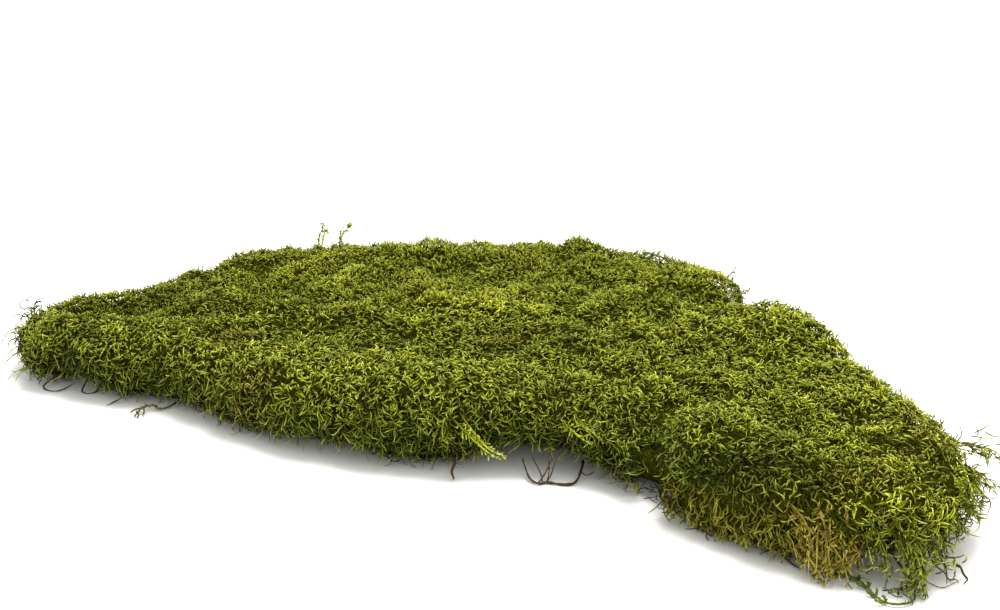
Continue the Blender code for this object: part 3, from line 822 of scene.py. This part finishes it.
curlBuild = {
    "wing": [[(-214, 50, 17), (-231, 50, 24), (-239, 47, 20), (-239, 43, 14)],
             [(-214, 44, 13), (-229, 40, 15), (-236, 37, 11), (-235, 33, 7)],
             [(-214, 54, 17), (-227, 62, 29), (-232, 65, 33), (-234, 64, 35)],
             [(-210, 34, 12), (-222, 25, 11), (-227, 20, 7), (-226, 17, 3)]],
    "leafy": [[(-84, 150, 32), (-82, 159, 42), (-81, 161, 47), (-84, 161, 49)],
              [(-72, 150, 32), (-71, 159, 42), (-69, 161, 46), (-66, 161, 48)],
              [(142, 94, 24), (153, 99, 36), (156, 101, 40), (157, 102, 43)],
              [(142, 84, 22), (157, 84, 31), (161, 84, 35), (164, 83, 36)]],
    "stems": 3, "radius": 0.0016, "girth": 0.00036, "rings": 7, "shoot": 0.0028,
    "tendrils": {"low": (-227, 42, 14), "high": (-226, 64, 33), "count": 40, "reach": (0.009, 0.014),
                 "turning": (2.8, 5.2), "girth": 0.00034},
}
batches = []
for kind in ("wing", "leafy"):
    for route in curlBuild[kind]:
        stems = curlBuild["stems"]
        paths = bunch(route, stems, curlBuild["radius"], (0.75, 1.0), curlBuild["rings"], 0.0012)
        tint = 0.3 + 0.2 * dice.normal(size=stems)
        batches.append(tubes(paths, narrowing(curlBuild["rings"], curlBuild["girth"]), tint, 0.5))
        if kind == "leafy":
            batches.append(sideShoots(paths, unit(np.tile((0, -0.4, 0.9), (stems, 1))), 3, curlBuild["shoot"],
                                      0.00036, tint, 0.1, first=0.4))
ringed = curlBuild["tendrils"]
count = ringed["count"]
share = dice.random((count, 1))
feet = inPlan(np.array(ringed["low"]) + share * (np.array(ringed["high"]) - ringed["low"]))
feet += dice.normal(0, 0.0025, (count, 3))
outward = unit(dice.normal(size=(count, 3)) * 0.5 + (-1.0, 0.1, 0.1))
paths = arcs(feet, outward, dice.normal(size=(count, 3)), dice.uniform(*ringed["reach"], count),
             dice.uniform(*ringed["turning"], count), np.linspace(0, 1, 15))
batches.append(tubes(paths, narrowing(14, ringed["girth"]), -0.1 + 0.3 * dice.normal(size=count), 0.7))
strandPiece("curled_ends", batches, greenShoots, ["moss_mat"])

# Long thin strands that hang from the rim all round

rimBuild = {"spacing": 0.0044, "tries": 18000, "reach": (0.007, 0.012), "girth": 0.00032, "rings": 5,
            "turning": (1.6, 0.6)}

rimFeet = scatter(rimBuild["tries"], rimBuild["spacing"],
                  smoothStep((0.5 - faceOut[:, 2]) / 0.3) * smoothStep((faceOut[:, 2] + 0.9) / 0.1)
                  * (faceOfLobe(faceMiddle) < 0.3))
rimFeet, rimOut = onMat(rimFeet)
count = len(rimFeet)
level = unit(rimOut * (1, 1, 0.4))
heading = unit(np.cross(level, (0, 0, 1)) * dice.normal(0, 0.8, (count, 1)) + (0, 0, -0.7) + 0.5 * level)
lean = level * dice.normal(0.2, 0.7, (count, 1)) - (0, 0, 0.6)
rimPaths = arcs(rimFeet - 0.002 * level, heading, lean, dice.uniform(*rimBuild["reach"], count),
                np.clip(dice.normal(*rimBuild["turning"], count), 0.2, 2.8), np.linspace(0, 1, rimBuild["rings"] + 1))
rimPaths = wander(rimPaths, 0.0006)
strandPiece("rim_strands", [tubes(rimPaths, narrowing(rimBuild["rings"], rimBuild["girth"]),
                                  0.05 + 0.25 * dice.normal(size=count), dice.uniform(0, 0.6, count))],
            greenShoots, ["moss_mat"])

# Brown root hairs on the underside

hairBuild = {"spacing": 0.0060, "tries": 16000, "reach": (0.007, 0.014), "girth": 0.00028, "rings": 4}

hairFeet = scatter(hairBuild["tries"], hairBuild["spacing"], smoothStep((-0.4 - faceOut[:, 2]) / 0.2))
hairFeet, _ = onMat(hairFeet)
count = len(hairFeet)
spin = dice.random((count, 1)) * 2 * math.pi
way = np.concatenate([np.cos(spin), np.sin(spin), dice.uniform(-0.25, 0.15, (count, 1))], 1)[:, None]
t = np.linspace(-0.5, 0.5, hairBuild["rings"] + 1)[None, :, None]
hairs = hairFeet[:, None] + (0, 0, 0.0008) + dice.uniform(*hairBuild["reach"], (count, 1, 1)) * way * t
hairs = wander(hairs, 0.0014)
rootHair = stemMaterial("rootHair", [(0.0, (0.020, 0.012, 0.005)), (0.5, (0.070, 0.042, 0.016)),
                                     (1.0, (0.160, 0.105, 0.045))], 0.8)
strandPiece("root_hairs", [tubes(hairs, narrowing(hairBuild["rings"], hairBuild["girth"]),
                                 0.4 + 0.2 * dice.normal(size=count), 1.0)], rootHair, ["moss_mat"])


# Single stems and twigs: a path through its route, with its own side shoots

def stalk(route, rings, girth, tint=0.4, dryness=0.0, sides=7, knots=0.12, end=0.5, sway=0.0):
    path = wander(routeAt(route, np.linspace(0, 1, rings + 1)[None]), sway)
    t = np.arange(rings) / rings
    swell = 1 + knots * np.sin(23 * t + len(route)) * np.sin(57 * t)
    return path, tubes(path, girth * swell * np.interp(t, (0, 0.7, 1), (1, 1, end)), tint, dryness, sides)


bark = stemMaterial("rootBark", [(0.0, (0.030, 0.016, 0.008)), (0.5, (0.070, 0.042, 0.020)),
                                 (1.0, (0.130, 0.085, 0.042))], 0.75, 0.5)

# The rootlet that sags below the arch of the front edge, with a few hair-thin side roots

rootletBuild = {
    "route": [(62, -66, 3.0), (61, -76, 5.0), (58, -83, 1.4), (53, -85, 0.9), (45, -83, 0.9), (41, -84, 0.9),
              (37, -80, 2.0), (34, -70, 7.0)],
    "girth": 0.0006, "rings": 60,
    "hairs": [[(45, -83, 1.2), (46, -80, 6), (45, -76, 12)], [(41, -84, 1.2), (44, -81, 4), (48, -76, 11)],
              [(43, -83.5, 1.0), (42, -79, 4), (38, -74, 10)], [(60, -79, 4.4), (63, -80, 3), (67, -78, 4)],
              [(45, -83, 1.4), (47, -80, 3.5), (49, -77, 9)], [(42, -83, 1.5), (45, -80, 5.5), (47, -79, 6)]],
}
path, batch = stalk(rootletBuild["route"], rootletBuild["rings"], rootletBuild["girth"], knots=0.22)
batches = [batch] + [stalk(route, 12, 0.0003, tint=0.55, sides=5)[1] for route in rootletBuild["hairs"]]
strandPiece("fine_rootlet", batches, bark, ["rootlet"])

# The curled sprig that trails from under the wing: an arched leafy stem with a forked tip

sprigBuild = {
    "route": [(-140, 4, 1.2), (-143, -1, 1.0), (-147, -4, 1.4), (-150, -3, 2.8), (-154, -6, 3.2),
              (-156, -10, 2.2), (-157, -14, 0.9)],
    "girth": 0.00045, "rings": 30,
    "forks": [[(-154, -6, 3.2), (-153, -9, 2.6), (-153, -12, 1.0)], [(-155, -7, 3.1), (-158, -8, 2.6), (-160, -10, 1.6)],
              [(-156, -10, 2.3), (-155, -12, 1.6), (-155.5, -14, 0.8)]],
}
olive = stemMaterial("driedSprig", [(0.0, (0.030, 0.028, 0.006)), (0.5, (0.110, 0.105, 0.020)),
                                    (1.0, (0.230, 0.215, 0.060))], 0.7)
path, batch = stalk(sprigBuild["route"], sprigBuild["rings"], sprigBuild["girth"])
batches = [batch] + [stalk(route, 10, 0.0004, sides=6)[1] for route in sprigBuild["forks"]]
batches.append(sideShoots(path, unit(np.array([[0.2, 0.1, 1.0]])), 13, 0.0018, 0.00036, 0.5, 0.0, first=0.3))
strandPiece("leafy_sprig", batches, olive, ["side_sprig"])

# The feathery stem that loops over the surface in front of the lobe, with blunt side branches towards its tip

frondBuild = {
    "route": [(176, -156, 12), (182, -166, 5), (184, -174, 2), (182, -181, 1.3), (177, -184, 1.3), (171, -183, 1.3),
              (168, -178, 1.3), (166, -171, 1.3), (163, -165, 1.3), (158, -162, 1.3), (152, -164, 1.3)],
    "girth": 0.00044, "rings": 90, "branch": 0.0044, "branches": (0.93, 0.87, 0.80, 0.73, 0.65, 0.57),
}
frondGreen = stemMaterial("frondStem", [(0.0, (0.020, 0.026, 0.004)), (0.35, (0.060, 0.085, 0.010)),
                                        (0.7, (0.150, 0.210, 0.022)), (1.0, (0.270, 0.340, 0.060))], 0.6)
path, batch = stalk(frondBuild["route"], frondBuild["rings"], frondBuild["girth"], tint=0.35, end=0.7)
batches = [batch]
for share in frondBuild["branches"]:
    for hand in (-1, 1):
        at = share * frondBuild["rings"]
        foot, ahead = path[0, int(at)], unit(path[0, int(at) + 2] - path[0, int(at)])
        out = np.cross(ahead, (0, 0, 1.0)) * hand
        way = unit(out + 0.7 * ahead + (0, 0, 0.22))
        reach = np.array(frondBuild["branch"] * dice.uniform(0.75, 1.05))
        twig = arcs(foot, way, ahead, reach, np.array(0.5), np.linspace(0, 1, 9))[None]
        batches.append(tubes(twig, 0.00048 * np.array([0.6, 0.9, 1.1, 1.0, 1.15, 1.0, 1.05, 0.7]), 0.5, 0.0, 7))
        batches.append(sideShoots(twig, unit(np.array([[0, 0, 1.0]])), 3, 0.0015, 0.00036, 0.55, 0.0, first=0.3))
batches.append(sideShoots(path, unit(np.array([[0, 0, 1.0]])), 26, 0.0014, 0.00030, 0.4, 0.0, first=0.3))
strandPiece("feathery_frond", batches, frondGreen, ["trailing_frond"])

# Small twigs and dark stems round the rim

twigBuild = {
    "dark": [([(186, -156, 15), (194, -164, 9), (202, -164, 7), (208, -162, 9.5)], 0.00036),
             ([(190, -158, 12), (196, -167, 6), (198, -171, 1.4)], 0.00034),
             ([(196, -164, 8.5), (199, -169, 5), (201, -172, 1.6)], 0.00030),
             ([(202, -164, 7), (206, -168, 4), (204, -171, 1.2)], 0.00045),
             ([(3.5, -78, 10), (3.4, -80, 5), (3.3, -80, 0.8)], 0.00065),
             ([(126, -140, 8), (138, -151, 1.6), (144, -158, 1.0)], 0.00055),
             ([(-206, 30, 6), (-212, 24, 2), (-205, 21, 1), (-196, 26, 3)], 0.00045),
             ([(-190, 26, 5), (-193, 20, 1.0), (-186, 20, 1.2), (-182, 26, 4)], 0.00045),
             ([(-166, 12, 6), (-170, 6, 2), (-176, 3, 0.8)], 0.00040)],
    "pale": [([(190, -166, 1.0), (196, -171, 0.6), (205, -166, 1.5)], 0.00018)],
}
batches = [stalk(route, 18, girth, tint=0.3, sway=0.0011)[1] for route, girth in twigBuild["dark"]]
batches += [stalk(route, 30, girth, tint=1.2, dryness=1.0)[1] for route, girth in twigBuild["pale"]]
strandPiece("small_twigs", batches, bark, ["moss_mat"])

# Pale shoots that stand out: one hangs from the front edge, the star and the bud are on the skyline

paleBuild = {
    "hanging": [[(2, -74, 29), (8, -82, 26), (16, -85, 19), (24, -83, 12)],
                [(6, -74, 31), (12, -83, 26), (19, -86, 19), (27, -84, 14)],
                [(50, -72, 28), (58, -82, 24), (66, -84, 19)], [(56, -72, 30), (64, -82, 26), (72, -86, 21)]],
    "star": (-81, 161, 45), "bud": [(-72, 150, 34), (-71, 158, 41), (-67, 161, 46.5)],
}
batches = []
for route in paleBuild["hanging"]:
    path, batch = stalk(route, 14, 0.00040, tint=0.8, sides=5)
    batches += [batch, sideShoots(path, unit(np.array([[0, -1.0, 0.4]])), 9, 0.0038, 0.00040, 0.7, 0.0, first=0.2)]
middle = inPlan(paleBuild["star"])
ways = unit(dice.normal(size=(16, 3)) + (0, 0, 0.7))
rays = arcs(np.tile(middle - (0, 0, 0.001), (16, 1)), ways, np.tile((0.0, 0.0, -1.0), (16, 1)),
            dice.uniform(0.0025, 0.0045, 16), np.full(16, 0.7), np.linspace(0, 1, 5))
batches.append(tubes(rays, narrowing(4, 0.00036), 0.9, 0.0))
batches.append(stalk([(-84, 150, 32), (-82, 158, 40), paleBuild["star"]], 8, 0.0006, tint=0.7)[1])
path, batch = stalk(paleBuild["bud"], 16, 0.0004, tint=0.7, end=1.0)
batches.append(batch)
swell = 0.0015 * np.array([0.35, 0.8, 1.0, 0.98, 0.8, 0.5, 0.25])
batches.append(tubes(path[:, -1:] + np.linspace(-0.0006, 0.0042, 8)[None, :, None] * unit(np.array([0.5, 0.1, 0.9])),
                     swell, 0.6, 0.0, 9))
strandPiece("pale_shoots", batches, greenShoots, ["moss_mat"])

# The felt core: the mat's solid without its long shoots, drawn in, so that gaps between shoots look into it

cornerDepth = np.full(len(corners), 1.0)
for k in range(3):
    np.minimum.at(cornerDepth, faces[body][:, k], depths[body])
sunk = np.minimum(matBuild["inset"], 0.16 * cornerDepth) + 0.011 * spotted(corners, holes)
matCopy.data.vertices.foreach_set("co", (corners - cornerOut * sunk[:, None]).astype(np.float32).ravel())
matCopy.data.update()


def pickThin():
    for polygon, solid in zip(matCopy.data.polygons, body):
        polygon.select = not solid


selectOnly(matCopy)
bpy.ops.object.mode_set(mode="EDIT")
bpy.ops.mesh.select_mode(type="FACE")
bpy.ops.mesh.select_all(action="DESELECT")
bpy.ops.object.mode_set(mode="OBJECT")
pickThin()
bpy.ops.object.mode_set(mode="EDIT")
bpy.ops.mesh.delete(type="FACE")
bpy.ops.mesh.select_all(action="SELECT")
bpy.ops.mesh.fill_holes(sides=0)
bpy.ops.mesh.select_all(action="SELECT")
bpy.ops.mesh.vertices_smooth(factor=0.5, repeat=2)
bpy.ops.object.mode_set(mode="OBJECT")
closed = matCopy.modifiers.new("closed", "REMESH")
closed.mode = "VOXEL"
closed.voxel_size = matBuild["voxel"]
bpy.ops.object.modifier_apply(modifier="closed")
soft = matCopy.modifiers.new("soft", "SMOOTH")
soft.factor = 0.5
soft.iterations = 2
bpy.ops.object.modifier_apply(modifier="soft")
co = np.array([v.co[:] for v in matCopy.data.vertices])
co[:, 2] -= (co[:, 2].min() - 0.0008) * smoothStep((0.016 - co[:, 2]) / 0.010)    # its foot reaches the surface again
matCopy.data.vertices.foreach_set("co", co.astype(np.float32).ravel())
matCopy.data.update()
matCopy.data.materials.clear()
matCopy.data.materials.append(feltMaterial())
matCopy.data.shade_smooth()
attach(matCopy, "root")
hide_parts("moss_mat")
counts["moss_felt"] = 2 * len(matCopy.data.polygons)
print("moss_felt:", counts["moss_felt"], "triangles")
